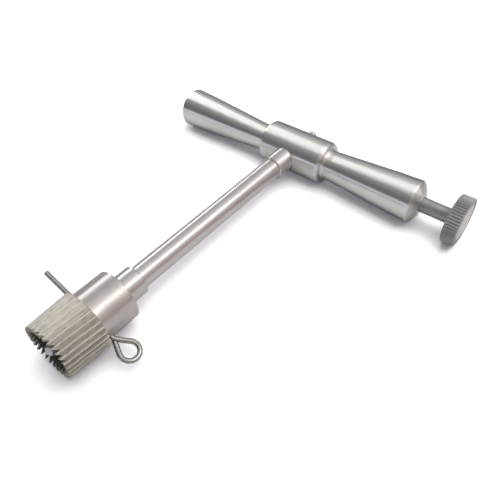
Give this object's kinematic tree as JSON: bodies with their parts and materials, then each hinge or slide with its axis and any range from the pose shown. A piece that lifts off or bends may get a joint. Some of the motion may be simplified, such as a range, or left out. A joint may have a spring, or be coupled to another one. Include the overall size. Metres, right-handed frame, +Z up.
{
  "type": "hand trepan",
  "caption": "T-handled surgical hand trepan with a fluted, toothed conical crown, a sliding centre point held by a knurled clamp screw, and a wire pin that locks the crown's socket.",
  "frame": {"origin": "middle of the part's box in plan, at the level of the lowest edge of the crown", "axes": "+Y along the spindle from the crown to the handle, +X along the handle towards the knob, +Z up from the table that it lies on"},
  "size_m": [0.1304, 0.1364, 0.0205],
  "materials": {
    "handle_steel": "satin steel, turned smooth",
    "spindle_steel": "bright steel with fine turning marks",
    "socket_steel": "bright steel with fine turning marks",
    "crown_steel": "matt warm grey steel",
    "rod_steel": "satin steel",
    "wire_steel": "drawn bright wire",
    "pad_brass": "turned",
    "screw_steel": "dark grey steel, knurled edge"
  },
  "bodies": {
    "frame": {"handle": "handle_steel", "spindle": "spindle_steel", "hub_ferrule": "spindle_steel", "shoulder_ring": "spindle_steel", "socket": "socket_steel", "crown": "crown_steel"},
    "point": {"centre_point": "rod_steel"},
    "pin": {"lock_pin": "wire_steel"},
    "pad": {"pressure_pad": "pad_brass"},
    "screw": {"clamp_screw": "screw_steel", "knob": "screw_steel"}
  },
  "joints": [
    {"name": "point_slide", "type": "slide", "parent": "frame", "child": "point", "axis": [0, -1, 0], "range_m": [-0.007, 0.0024]},
    {"name": "pin_slide", "type": "slide", "parent": "frame", "child": "pin", "axis": [0.9379, 0, -0.3469], "range_m": [0, 0.03]},
    {"name": "pad_slide", "type": "slide", "parent": "frame", "child": "pad", "axis": [1, 0, 0], "range_m": [0, 0.004]},
    {"name": "screw_turn", "type": "hinge", "parent": "pad", "child": "screw", "pos_m": [0.03, 0.05437, 0.01027], "axis": [1, 0, 0], "range_deg": [0, 1800]}
  ],
  "couplings": [
    {"joint": "screw_turn", "follows": "pad_slide", "rad_per_m": 7854}
  ]
}
